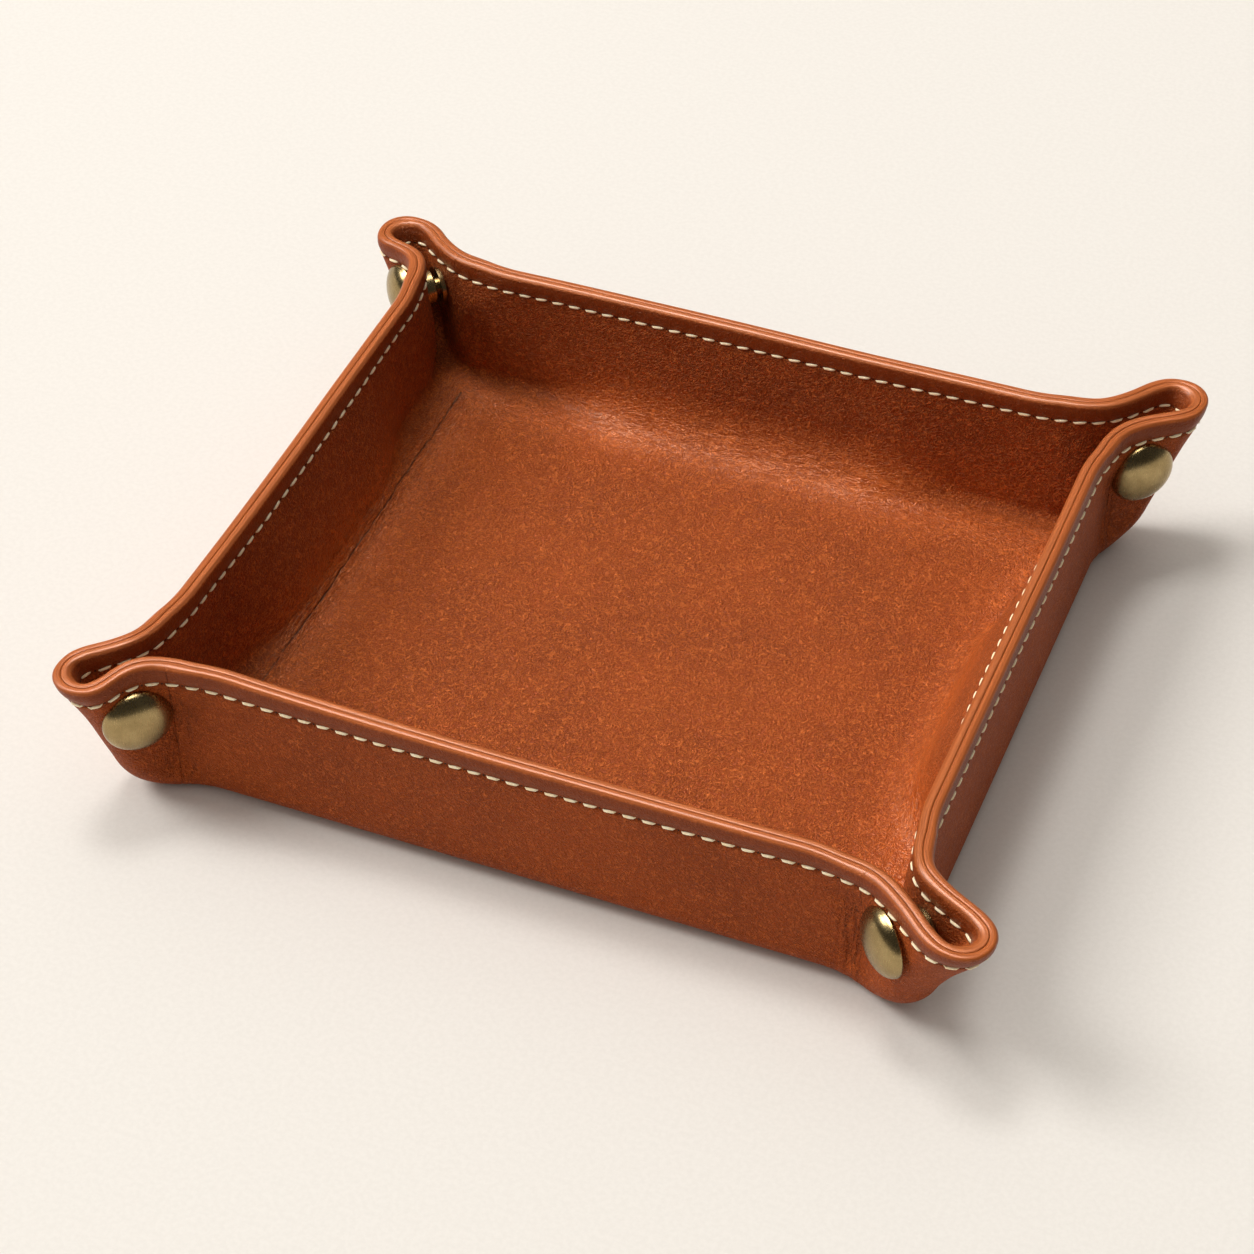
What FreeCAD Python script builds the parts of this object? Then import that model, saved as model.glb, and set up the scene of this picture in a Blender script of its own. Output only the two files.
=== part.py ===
import FreeCAD, Part
import Sketcher
import math
import os

# Valet tray: two leather blanks sewn along the rim, pinched into ears at the corners and held by press snaps.
# Millimetres, +Z up. The origin is under the middle of the tray, on the surface that it stands on.

# Driving dimensions. Angles are in degrees.
dimensions = {
    # Outside of the walls and the two leathers
    "tray_length": 165,
    "tray_depth": 148.5,
    "tray_height": 35,
    "outer_leather": 1.9,
    "lining_leather": 1.85,
    "glue_line": 0.05,
    "rim_round": 0.9,
    # Ears: the gap between their inner faces, the crease beside the wall and the rising fold under them
    "ear_gap": 5,
    "crease_radius": 1,
    "crease_turn": 45,
    "fold_radius": 10,
    "fold_slope": 69,
    # Where a bend is parted between the base and a wall, and the gaps that let the panels move
    "bend_part": 45,
    "bend_part_gap": 1.5,
    "panel_gap": 0.2,
    "fold_seam": 0.3,
    # Press snaps: their place on the ear, the cap, the barrels, the socket, the stud and the eyelet post
    "cap_to_crease": 0.4,
    "socket_to_fold": 0.1,
    "cap_diameter": 15,
    "cap_rise": 2.2,
    "cap_roll": 0.55,
    "barrel_diameter": 3.2,
    "barrel_clearance": 0.12,
    "socket_diameter": 9.6,
    "mouth_clearance": 1,
    "socket_flange": 0.8,
    "socket_floor": 0.6,
    "cup_diameter": 8.4,
    "cup_lip": 0.4,
    "cavity_diameter": 6.2,
    "stud_diameter": 9.4,
    "stud_flange": 1,
    "head_clearance": 0.6,
    "neck_diameter": 4.4,
    "bulge_height": 1.2,
    "bulge_inset": 0.2,
    "post_depth": 2.3,
    "post_flange_diameter": 9,
    "post_flange": 0.8,
    "post_round": 0.4,
    # How far a cut runs past what it cuts
    "overrun": 4,
}

doc = FreeCAD.newDocument("valet_tray")
sizes = doc.addObject("Spreadsheet::Sheet", "Sizes")
for row, (alias, number) in enumerate(dimensions.items(), start=1):
    sizes.set(f"A{row}", alias)
    sizes.set(f"B{row}", str(number))
    sizes.setAlias(f"B{row}", alias)
doc.recompute()

# Sizes that follow from the driving dimensions, as expressions on the sheet
half_length = "Sizes.tray_length / 2"
half_depth = "Sizes.tray_depth / 2"
rim = "Sizes.tray_height"
# Depth of each face of the two leathers below the outside of the tray
outer_faces = ("0", "Sizes.outer_leather")
lining_back = "Sizes.outer_leather + Sizes.glue_line"
lining_faces = (f"({lining_back})", f"({lining_back} + Sizes.lining_leather)")
thickness = lining_faces[1]
# Every bend goes round the ear's gap, so its outside has this radius
bend = f"({thickness} + Sizes.ear_gap / 2)"
# Upright axis of the crease beside an ear, from the corner where the outer faces of two walls would meet
crease_across = f"({bend} + Sizes.crease_radius)"
crease_along = f"(Sizes.crease_radius * sqrt(2) - {crease_across})"
# Where a wall ends, from that corner
wall_end = f"(({crease_across} - {crease_along}) / sqrt(2))"
# The fold's middle line: an arc from level to its slope, then straight to the rim
fold_corner_along = f"({crease_along} + Sizes.fold_radius * sin(Sizes.fold_slope))"
fold_corner_up = f"({bend} + Sizes.fold_radius * (1 - cos(Sizes.fold_slope)))"
fold_top_up = f"({rim} + {bend} + Sizes.overrun)"
fold_top_along = f"({fold_corner_along} + ({fold_top_up} - {fold_corner_up}) / tan(Sizes.fold_slope))"
ear_length = f"({fold_top_along} - {crease_along})"
# Snaps, along the ear's normal from the middle of its gap
barrel = "(Sizes.barrel_diameter / 2)"
barrel_hole = f"({barrel} + Sizes.barrel_clearance)"
seat = "(Sizes.ear_gap / 2)"
# The cap's edge stands beside the crease, and the socket's flange on the flat of the ear above the fold
snap_reach = f"({crease_along} + Sizes.cap_diameter / 2 + Sizes.cap_to_crease)"
snap_from_fold = "(Sizes.socket_diameter / 2 + Sizes.socket_to_fold)"
snap_lift = f"({snap_reach} - {fold_corner_along}) * sin(Sizes.fold_slope)"
snap_height = f"({fold_corner_up} + ({snap_from_fold} + {snap_lift}) / cos(Sizes.fold_slope))"
# The cup stops short of the stud's flange, and the stud's head short of the socket's floor
socket_height = "(Sizes.ear_gap - Sizes.stud_flange - Sizes.mouth_clearance)"
stud_height = "(Sizes.ear_gap - Sizes.socket_floor - Sizes.head_clearance)"
# A cut that goes right through an ear
through_ear = f"(2 * ({bend} + Sizes.overrun))"

corners = {
    "front_left": (-1, -1),
    "front_right": (1, -1),
    "back_left": (-1, 1),
    "back_right": (1, 1),
}
# Wall names with their turn about Z and the signs of their place along X and Y
walls = {
    "front": (0, 0, -1),
    "right": (90, 1, 0),
    "back": (180, 0, 1),
    "left": (-90, -1, 0),
}
# The half of each ear that shows its cap
capped_walls = {
    "front_left": "front",
    "front_right": "front",
    "back_left": "left",
    "back_right": "right",
}
leathers = {"outer": outer_faces, "lining": lining_faces}
# Two heights closer than this are one
seam_tolerance = 1e-4
pieces = []


def value_of(text):
    return float(sizes.evalExpression(text))


def new_body(label):
    body = doc.addObject("PartDesign::Body", label)
    body.Label = label
    pieces.append(body)
    return body


def new_sketch(body, name, plane_role, offset=None):
    # offset: expressions for the sketch's place in its plane's own axes
    sketch = body.newObject("Sketcher::SketchObject", f"{body.Name}_{name}")
    planes = [feature for feature in body.Origin.OriginFeatures if feature.Role == plane_role]
    sketch.AttachmentSupport = (planes[0], "")
    sketch.MapMode = "FlatFace"
    for axis, text in (offset or {}).items():
        sketch.setExpression(f"AttachmentOffset.Base.{axis}", text)
    return sketch


def bind_point(sketch, geometry, position, axis, text):
    # Ties one coordinate of a point to an expression
    number = value_of(text)
    if abs(number) < 1e-9:
        sketch_axis = -2 if axis == "X" else -1
        sketch.addConstraint(Sketcher.Constraint("PointOnObject", geometry, position, sketch_axis))
        return
    ends = (-1, 1, geometry, position) if number > 0 else (geometry, position, -1, 1)
    index = sketch.addConstraint(Sketcher.Constraint(f"Distance{axis}", *ends, abs(number)))
    sketch.setExpression(f"Constraints[{index}]", text if number > 0 else f"-({text})")


def draw(sketch, points, arcs=None, closed=True):
    # points: pairs of expressions. arcs: number of the point an arc starts from, its centre and its turn
    arcs = arcs or {}
    places = [FreeCAD.Vector(value_of(x), value_of(y), 0) for x, y in points]
    count = len(points) if closed else len(points) - 1
    up = FreeCAD.Vector(0, 0, 1)
    ends = []
    for number in range(count):
        start = places[number]
        end = places[(number + 1) % len(points)]
        if number not in arcs:
            geometry = sketch.addGeometry(Part.LineSegment(start, end))
            ends.append((geometry, 1, 2))
            continue
        centre_x, centre_y, turn = arcs[number]
        centre = FreeCAD.Vector(value_of(centre_x), value_of(centre_y), 0)
        first, last = (start, end) if turn > 0 else (end, start)
        angles = [math.atan2((place - centre).y, (place - centre).x) for place in (first, last)]
        circle = Part.Circle(centre, up, (start - centre).Length)
        geometry = sketch.addGeometry(Part.ArcOfCircle(circle, *angles))
        ends.append((geometry, 1, 2) if turn > 0 else (geometry, 2, 1))
        # Both ends are tied below, so one coordinate of the centre is left to tie
        chord = end - start
        if abs(chord.y) >= abs(chord.x):
            bind_point(sketch, geometry, 3, "X", centre_x)
        else:
            bind_point(sketch, geometry, 3, "Y", centre_y)
    for number in range(count if closed else count - 1):
        geometry, first, last = ends[number]
        after, after_first, after_last = ends[(number + 1) % count]
        sketch.addConstraint(Sketcher.Constraint("Coincident", geometry, last, after, after_first))
    for number, (x, y) in enumerate(points):
        geometry, first, last = ends[min(number, count - 1)]
        position = first if number < count else last
        bind_point(sketch, geometry, position, "X", x)
        bind_point(sketch, geometry, position, "Y", y)


def pad(body, sketch, length, symmetric=True):
    feature = body.newObject("PartDesign::Pad", f"{sketch.Name}_pad")
    feature.Profile = sketch
    feature.SideType = "Symmetric" if symmetric else "One side"
    feature.setExpression("Length", length)
    return feature


def pocket_through(body, sketch, depth):
    feature = body.newObject("PartDesign::Pocket", f"{sketch.Name}_pocket")
    feature.Profile = sketch
    feature.SideType = "Symmetric"
    feature.setExpression("Length", depth)
    return feature


def revolve(body, sketch, turn=None, backward=False):
    feature = body.newObject("PartDesign::Revolution", f"{sketch.Name}_revolution")
    feature.Profile = sketch
    feature.ReferenceAxis = (sketch, ["V_Axis"])
    feature.Reversed = backward
    if turn:
        feature.setExpression("Angle", turn)
    else:
        feature.Angle = 360
    return feature


def place(body, x, y, z, rotation):
    body.Placement = FreeCAD.Placement(FreeCAD.Vector(), rotation)
    for axis, text in zip("xyz", (x, y, z)):
        body.setExpression(f"Placement.Base.{axis}", text)


def turn_about_up(degrees):
    return FreeCAD.Rotation(FreeCAD.Vector(0, 0, 1), degrees)


# Base: a flat panel of each leather, with the lower part of each bend along its four edges


def make_base(layer, faces):
    label = "base_outer_leather" if layer == "outer" else "base_lining"
    body = new_body(label)
    shallow, deep = faces
    middle = f"({deep} - {shallow})"
    floor = new_sketch(body, "floor", "XY_Plane", {"z": shallow})
    x = f"{half_length} - {bend}"
    y = f"{half_depth} - {bend}"
    draw(floor, [(f"-({x})", f"-({y})"), (x, f"-({y})"), (x, y), (f"-({x})", y)])
    pad(body, floor, middle, symmetric=False)
    turn = "(Sizes.bend_part - Sizes.bend_part_gap)"
    for name, plane, reach, run in (
        ("front_back", "YZ_Plane", half_depth, half_length),
        ("left_right", "XZ_Plane", half_length, half_depth),
    ):
        for sign, side in ((1, "far"), (-1, "near")):
            curl = new_sketch(body, f"{name}_{side}", plane)
            centre = f"({reach} - {bend})"
            outline = []
            for depth, angle in ((shallow, "0"), (shallow, turn), (deep, turn), (deep, "0")):
                radius = f"({bend} - {depth})"
                across = f"{centre} + {radius} * sin({angle})"
                signed_across = across if sign > 0 else f"-({across})"
                outline.append((signed_across, f"{bend} - {radius} * cos({angle})"))
            signed_centre = centre if sign > 0 else f"-({centre})"
            draw(curl, outline, {0: (signed_centre, bend, sign), 2: (signed_centre, bend, -sign)})
            pad(body, curl, f"2 * ({run} - {wall_end} - Sizes.panel_gap)")


for layer, faces in leathers.items():
    make_base(layer, faces)

# Walls: the upper part of the bend and the upright panel, with the rim rounded on the face that shows


def wall_section(faces, layer):
    # Section of an upright panel from the top of the bend to the rim, up the outside and down the inside
    shallow, deep = faces
    rounding = "Sizes.rim_round"
    if layer == "outer":
        points = [
            (shallow, bend),
            (shallow, f"{rim} - {rounding}"),
            (f"{shallow} + {rounding}", rim),
            (deep, rim),
            (deep, bend),
        ]
        arcs = {1: (f"{shallow} + {rounding}", f"{rim} - {rounding}", -1)}
    else:
        points = [
            (shallow, bend),
            (shallow, rim),
            (f"{deep} - {rounding}", rim),
            (deep, f"{rim} - {rounding}"),
            (deep, bend),
        ]
        arcs = {2: (f"{deep} - {rounding}", f"{rim} - {rounding}", -1)}
    return points, arcs


def make_wall(wall, layer, faces):
    label = f"{wall}_wall_outer_leather" if layer == "outer" else f"{wall}_wall_lining"
    body = new_body(label)
    turn, sign_x, sign_y = walls[wall]
    run = half_length if sign_y else half_depth
    points, arcs = wall_section(faces, layer)
    part_angle = "Sizes.bend_part"
    shallow, deep = faces
    for depth in (deep, shallow):
        radius = f"({bend} - {depth})"
        points.append((f"{bend} - {radius} * sin({part_angle})", f"{bend} - {radius} * cos({part_angle})"))
    arcs[4] = (bend, bend, 1)
    arcs[6] = (bend, bend, -1)
    section = new_sketch(body, "section", "YZ_Plane")
    draw(section, points, arcs)
    pad(body, section, f"2 * ({run} - {wall_end} - Sizes.panel_gap)")
    place(body, f"{sign_x} * {half_length}", f"{sign_y} * {half_depth}", "0", turn_about_up(turn))


for wall in walls:
    for layer, faces in leathers.items():
        make_wall(wall, layer, faces)

# Ears: X runs out along the corner's bisector from where the walls' outer faces would meet, Y across the ear


def corner_turn(corner):
    sign_x, sign_y = corners[corner]
    return math.degrees(math.atan2(sign_y, sign_x))


def halves_of(corner):
    # The wall on each side of the ear, by the sign of Y in the corner's own axes
    front_or_back, left_or_right = corner.split("_")
    sign_x, sign_y = corners[corner]
    return {sign_x * sign_y: front_or_back, -sign_x * sign_y: left_or_right}


def place_on_corner(body, corner):
    sign_x, sign_y = corners[corner]
    rotation = turn_about_up(corner_turn(corner))
    place(body, f"{sign_x} * {half_length}", f"{sign_y} * {half_depth}", "0", rotation)


def mirrored(points, arcs, side):
    # side +1 keeps an outline, side -1 turns it over in X
    if side > 0:
        return points, arcs
    points = [(f"-({x})", y) for x, y in points]
    arcs = {number: (f"-({x})", y, -turn) for number, (x, y, turn) in arcs.items()}
    return points, arcs


def crease_sketch(body, name, side):
    # An upright plane across the ear where the crease ends, with its middle on the crease's axis
    across = crease_across if side > 0 else f"-{crease_across}"
    return new_sketch(body, name, "YZ_Plane", {"x": across, "z": crease_along})


def make_ear_half(corner, wall, side, layer, faces):
    body = new_body(f"{corner}_ear_{wall}_{layer}")
    points, arcs = wall_section(faces, layer)
    points = [(f"-(Sizes.crease_radius + {depth})", up) for depth, up in points]
    arcs = {number: (f"-(Sizes.crease_radius + {x})", y, -turn) for number, (x, y, turn) in arcs.items()}
    section = crease_sketch(body, "section", side)
    draw(section, *mirrored(points, arcs, side))
    revolve(body, section, "Sizes.crease_turn", backward=side > 0)
    pad(body, section, ear_length, symmetric=False)
    beyond = new_sketch(body, "beyond_fold", "XZ_Plane")
    far = f"{fold_top_along} + Sizes.overrun"
    below = f"{bend} - Sizes.overrun"
    outline = [
        (crease_along, bend),
        (fold_corner_along, fold_corner_up),
        (fold_top_along, fold_top_up),
        (far, fold_top_up),
        (far, below),
        (crease_along, below),
    ]
    draw(beyond, outline, {0: (crease_along, f"{bend} + Sizes.fold_radius", 1)})
    pocket_through(body, beyond, through_ear)
    hole = new_sketch(body, "hole", "XZ_Plane")
    centre = FreeCAD.Vector(value_of(snap_reach), value_of(snap_height), 0)
    circle = hole.addGeometry(Part.Circle(centre, FreeCAD.Vector(0, 0, 1), value_of(barrel_hole)))
    bind_point(hole, circle, 3, "X", snap_reach)
    bind_point(hole, circle, 3, "Y", snap_height)
    radius = hole.addConstraint(Sketcher.Constraint("Radius", circle, value_of(barrel_hole)))
    hole.setExpression(f"Constraints[{radius}]", barrel_hole)
    pocket_through(body, hole, through_ear)
    place_on_corner(body, corner)


def round_rim(body, cut, layer):
    # The face that shows is the longer of the two curves at the rim on the outside, the shorter on the lining
    level = value_of(rim)
    curves = []
    for number, edge in enumerate(cut.Shape.Edges, start=1):
        box = edge.BoundBox
        if edge.Curve.TypeId != "Part::GeomLine" and box.ZMin > level - seam_tolerance:
            curves.append((edge.Length, f"Edge{number}"))
    length, shown = max(curves) if layer == "outer" else min(curves)
    fillet = body.newObject("PartDesign::Fillet", f"{body.Name}_rim")
    fillet.Base = (cut, [shown])
    fillet.setExpression("Radius", "Sizes.rim_round")


def make_fold_half(corner, wall, side, layer, faces):
    # A quarter of a ring that carries the wall's bend round the crease and then up under the ear
    body = new_body(f"{corner}_fold_{wall}_{layer}")
    shallow, deep = faces
    seam = "(Sizes.fold_seam / 2)"
    outline = []
    for depth, at_seam in ((shallow, False), (shallow, True), (deep, True), (deep, False)):
        radius = f"({bend} - {depth})"
        across = seam if at_seam else radius
        drop = f"sqrt(pow({radius}; 2) - pow({seam}; 2))" if at_seam else "0"
        outline.append((f"{across} - {crease_across}", f"{bend} - {drop}"))
    centre = f"-{crease_across}"
    arcs = {0: (centre, bend, -1), 2: (centre, bend, 1)}
    section = crease_sketch(body, "section", side)
    draw(section, *mirrored(outline, arcs, side))
    revolve(body, section, "Sizes.crease_turn", backward=side > 0)
    path = new_sketch(body, "path", "XZ_Plane")
    line = [(crease_along, bend), (fold_corner_along, fold_corner_up), (fold_top_along, fold_top_up)]
    draw(path, line, {0: (crease_along, f"{bend} + Sizes.fold_radius", 1)}, closed=False)
    pipe = body.newObject("PartDesign::AdditivePipe", f"{body.Name}_pipe")
    pipe.Profile = section
    pipe.Spine = (path, ["Edge1", "Edge2"])
    above = new_sketch(body, "above_rim", "XZ_Plane")
    far = f"{fold_top_along} + {bend} + Sizes.overrun"
    top = f"{fold_top_up} + {bend}"
    draw(above, [(crease_along, rim), (far, rim), (far, top), (crease_along, top)])
    cut = pocket_through(body, above, through_ear)
    doc.recompute()
    round_rim(body, cut, layer)
    place_on_corner(body, corner)


for corner in corners:
    for side, wall in halves_of(corner).items():
        for layer, faces in leathers.items():
            make_ear_half(corner, wall, side, layer, faces)
            make_fold_half(corner, wall, side, layer, faces)

# Press snaps: each piece is turned about the snap's axis, from the middle of the ear's gap to the cap


def make_turned(corner, name, points, arcs):
    body = new_body(f"{corner}_snap_{name}")
    section = new_sketch(body, "section", "XZ_Plane")
    draw(section, points, arcs)
    revolve(body, section)
    sign_x, sign_y = corners[corner]
    sides = {wall: side for side, wall in halves_of(corner).items()}
    side = sides[capped_walls[corner]]
    across = turn_about_up(corner_turn(corner)).multVec(FreeCAD.Vector(0, side, 0))
    x = f"{sign_x} * ({half_length} + {snap_reach} / sqrt(2))"
    y = f"{sign_y} * ({half_depth} + {snap_reach} / sqrt(2))"
    place(body, x, y, snap_height, FreeCAD.Rotation(FreeCAD.Vector(0, 0, 1), across))


def make_cap(corner):
    # A low dome with a rolled edge, on a barrel that is closed over inside the socket
    radius = "(Sizes.cap_diameter / 2)"
    roll = "Sizes.cap_roll"
    roll_centre = f"({radius} - {roll})"
    dome_rise = f"(Sizes.cap_rise - 2 * {roll})"
    dome_radius = f"((pow({roll_centre}; 2) + pow({dome_rise}; 2)) / (2 * {dome_rise}))"
    barrel_end = f"{seat} - Sizes.socket_floor"
    points = [
        ("0", barrel_end),
        (barrel, barrel_end),
        (barrel, bend),
        (roll_centre, bend),
        (radius, f"{bend} + {roll}"),
        (roll_centre, f"{bend} + 2 * {roll}"),
        ("0", f"{bend} + Sizes.cap_rise"),
    ]
    arcs = {
        3: (roll_centre, f"{bend} + {roll}", 1),
        4: (roll_centre, f"{bend} + {roll}", 1),
        5: ("0", f"{bend} + Sizes.cap_rise - {dome_radius}", 1),
    }
    make_turned(corner, "cap", points, arcs)


def make_socket(corner):
    # A flange against the lining and a cup that is open towards the stud
    flange = "(Sizes.socket_diameter / 2)"
    cup = "(Sizes.cup_diameter / 2)"
    lip = "Sizes.cup_lip"
    cavity = "(Sizes.cavity_diameter / 2)"
    mouth = f"{seat} - {socket_height}"
    points = [
        (barrel_hole, seat),
        (barrel_hole, f"{seat} - Sizes.socket_floor"),
        (cavity, f"{seat} - Sizes.socket_floor"),
        (cavity, mouth),
        (f"{cup} - {lip}", mouth),
        (cup, f"{mouth} + {lip}"),
        (cup, f"{seat} - Sizes.socket_flange"),
        (flange, f"{seat} - Sizes.socket_flange"),
        (flange, seat),
    ]
    make_turned(corner, "socket", points, {4: (f"{cup} - {lip}", f"{mouth} + {lip}", 1)})


def make_stud(corner):
    # A flange against the other lining and a head that swells to snap into the socket
    flange = "(Sizes.stud_diameter / 2)"
    neck = "(Sizes.neck_diameter / 2)"
    top = f"{stud_height} - {seat}"
    bulge = "Sizes.bulge_height"
    points = [
        (barrel_hole, f"-{seat}"),
        (flange, f"-{seat}"),
        (flange, f"Sizes.stud_flange - {seat}"),
        (neck, f"Sizes.stud_flange - {seat}"),
        (neck, f"{top} - {bulge}"),
        (neck, top),
        ("0", top),
        ("0", f"Sizes.post_depth - {seat}"),
        (barrel_hole, f"Sizes.post_depth - {seat}"),
    ]
    arcs = {4: (f"{neck} - Sizes.bulge_inset", f"{top} - {bulge} / 2", 1)}
    make_turned(corner, "stud", points, arcs)


def make_post(corner):
    # An eyelet whose flange lies on the outside of the ear and whose barrel is closed over in the stud
    flange = "(Sizes.post_flange_diameter / 2)"
    rounding = "Sizes.post_round"
    outside = f"-({bend} + Sizes.post_flange)"
    barrel_end = f"Sizes.post_depth - Sizes.barrel_clearance - {seat}"
    points = [
        ("0", outside),
        (f"{flange} - {rounding}", outside),
        (flange, f"{outside} + {rounding}"),
        (flange, f"-{bend}"),
        (barrel, f"-{bend}"),
        (barrel, barrel_end),
        ("0", barrel_end),
    ]
    make_turned(corner, "post", points, {1: (f"{flange} - {rounding}", f"{outside} + {rounding}", 1)})


for corner in corners:
    make_cap(corner)
    make_socket(corner)
    make_stud(corner)
    make_post(corner)

doc.recompute()

# Every object and every solid is sound before anything is written
for item in doc.Objects:
    if "Invalid" in item.State or "Error" in item.State:
        raise RuntimeError(f"{item.Name} failed: {item.State}")
for piece in pieces:
    if piece.Shape.isNull() or not piece.Shape.isValid() or len(piece.Shape.Solids) != 1:
        raise RuntimeError(f"{piece.Label} is not one sound solid")

os.makedirs("parts", exist_ok=True)
for piece in pieces:
    piece.Shape.exportStep(f"parts/{piece.Label}.step")
print(len(pieces), "pieces")
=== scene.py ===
import math
from functools import partial

import bpy
import numpy as np
from mathutils import Matrix, Vector, kdtree


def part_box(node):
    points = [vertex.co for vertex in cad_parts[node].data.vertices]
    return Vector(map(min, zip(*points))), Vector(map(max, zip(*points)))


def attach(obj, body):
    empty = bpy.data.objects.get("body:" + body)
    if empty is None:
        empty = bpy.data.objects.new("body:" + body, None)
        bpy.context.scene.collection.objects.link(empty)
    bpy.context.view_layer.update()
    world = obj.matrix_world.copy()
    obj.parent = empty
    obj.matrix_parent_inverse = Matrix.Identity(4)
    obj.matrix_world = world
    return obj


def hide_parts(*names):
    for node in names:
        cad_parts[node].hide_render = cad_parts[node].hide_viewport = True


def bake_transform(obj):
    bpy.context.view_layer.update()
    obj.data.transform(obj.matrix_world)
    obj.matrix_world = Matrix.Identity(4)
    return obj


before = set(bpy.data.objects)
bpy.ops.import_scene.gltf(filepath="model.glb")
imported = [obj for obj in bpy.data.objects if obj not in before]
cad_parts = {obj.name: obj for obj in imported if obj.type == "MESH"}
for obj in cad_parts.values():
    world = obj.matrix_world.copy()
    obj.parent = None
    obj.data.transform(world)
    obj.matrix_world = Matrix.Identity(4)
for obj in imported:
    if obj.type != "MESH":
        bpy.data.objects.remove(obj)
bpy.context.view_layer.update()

# Leather tray with four pinched corners. Lengths below are in millimetres, the meshes in metres.
mm = 0.001
diagonal = math.sqrt(0.5)
cornerSpread = math.sqrt(2) - 1

# Sizes that the frame gives: the outside of the walls and their height
tray = {
    "halfLength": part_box("right_wall_outer_leather")[1].x / mm,
    "halfDepth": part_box("back_wall_outer_leather")[1].y / mm,
    "height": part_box("front_wall_outer_leather")[1].z / mm,
}
# The two leathers together, the depth of their glue line with half its gap, and the outside radius of the bends
hide = {"whole": 3.8, "glue": 1.9, "glueGap": 0.04, "bend": 6.3}
# Each corner: the crease beside an ear and how it softens at the rim and the foot, the fold under the ear and where
# it stays open, how far from the corner the pieces start, and where an ear's flat is parted from its fold
pinch = {"crease": 1.0, "sharp": 0.45, "softShare": 2.23, "rimSoft": 30.0, "rimFrom": 18.0, "footSoft": 20.0,
         "footRange": (1.0, 13.0), "foldRadius": 8.6, "foldSlope": math.radians(66), "tight": 0.6,
         "rimOpen": (14, 2), "footOpen": 9, "middle": 2, "border": 26.0, "parting": 8}
wallTurns = {"front": 0, "right": 90, "back": 180, "left": -90}
# The corner at each end of a wall
wallEnds = {
    "front": ("front_left", "front_right"),
    "right": ("front_right", "back_right"),
    "back": ("back_right", "back_left"),
    "left": ("back_left", "front_left"),
}
cornerSigns = {"front_left": (-1, -1), "front_right": (1, -1), "back_right": (1, 1), "back_left": (-1, 1)}
# The wall whose ear half carries a snap's cap and socket, and the wall whose half carries its stud and post
firstWall = {"front_left": "front", "front_right": "front", "back_right": "right", "back_left": "left"}
secondWall = {"front_left": "left", "front_right": "right", "back_right": "back", "back_left": "back"}


def smooth(low, high, value):
    t = np.clip((value - low) / (high - low), 0, 1)
    return t * t * (3 - 2 * t)


def noise(points, size, seed):
    # Soft lattice noise from -1 to 1, the same at a place whichever piece asks
    p = np.asarray(points, float) / size + 31.7 * seed
    cell = np.floor(p)
    f = p - cell
    f = f * f * (3 - 2 * f)
    total = 0
    for corner in range(8):
        step = np.array([corner & 1, corner >> 1 & 1, corner >> 2 & 1])
        key = (cell + step) @ np.array([127.1, 311.7, 74.7])
        value = np.sin(key) * 43758.5453
        weight = np.prod(np.where(step, f, 1 - f), axis=-1)
        total = total + weight * (value - np.floor(value))
    return 2 * total - 1


# Where a point of the leather goes


def wallRun(wall):
    return tray["halfLength"] if wall in ("front", "back") else tray["halfDepth"]


def toWorld(wall, s, d, z):
    # s along the wall from its middle, d inwards from its outer face, z up
    turn = math.radians(wallTurns[wall])
    reach = tray["halfDepth"] if wall in ("front", "back") else tray["halfLength"]
    c, n = math.cos(turn), math.sin(turn)
    s, d, z = np.broadcast_arrays(s, d, z)
    inward = d - reach
    return np.stack([c * s - n * inward, n * s + c * inward, z], axis=-1)


def vertexAlong(depth):
    # Where a wall and its ear would meet in a sharp line, along the corner's bisector
    return -hide["bend"] - cornerSpread * depth


def foldedPlan(x, depth, z):
    # x: distance past the crease, along the ear where positive and along the wall where negative
    soft = pinch["rimSoft"] * smooth(pinch["rimFrom"], tray["height"], z)
    soft = soft + pinch["footSoft"] * (1 - smooth(*pinch["footRange"], z))
    half = (pinch["sharp"] + np.maximum(depth, 0) + soft) / pinch["softShare"]
    push = np.where(np.abs(x) < half, (half - np.abs(x)) ** 2 / (4 * half), 0)
    u = vertexAlong(depth) + np.where(x > 0, x, diagonal * x) + (1 - diagonal) * push
    # The two halves of an ear don't cross its middle
    middle = smooth(0, pinch["middle"], hide["bend"] - depth)
    v = hide["bend"] - depth - np.where(x > 0, 0, diagonal * x) + diagonal * push * middle
    return u, v


def cornerToWorld(wall, end, u, v, z):
    # u out along the corner's bisector, v across the ear towards this wall's side
    s = end * (wallRun(wall) + (u - v) * diagonal)
    return toWorld(wall, s, -(u + v) * diagonal, z)


creaseAlong = vertexAlong(0) + cornerSpread * pinch["crease"]
arcEnd = pinch["foldRadius"] * pinch["foldSlope"]
arcTop = hide["bend"] + pinch["foldRadius"] * (1 - math.cos(pinch["foldSlope"]))


def foldPath(t):
    # Middle line of the fold under an ear: an arc from level to its slope, then straight up to the rim
    radius, slope = pinch["foldRadius"], pinch["foldSlope"]
    angle = np.clip(t / radius, None, slope)
    past = np.maximum(t - radius * slope, 0)
    u = creaseAlong + radius * np.sin(angle) + past * math.cos(slope)
    z = hide["bend"] + radius * (1 - np.cos(angle)) + past * math.sin(slope)
    return u, z, np.sin(angle), -np.cos(angle)


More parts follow.
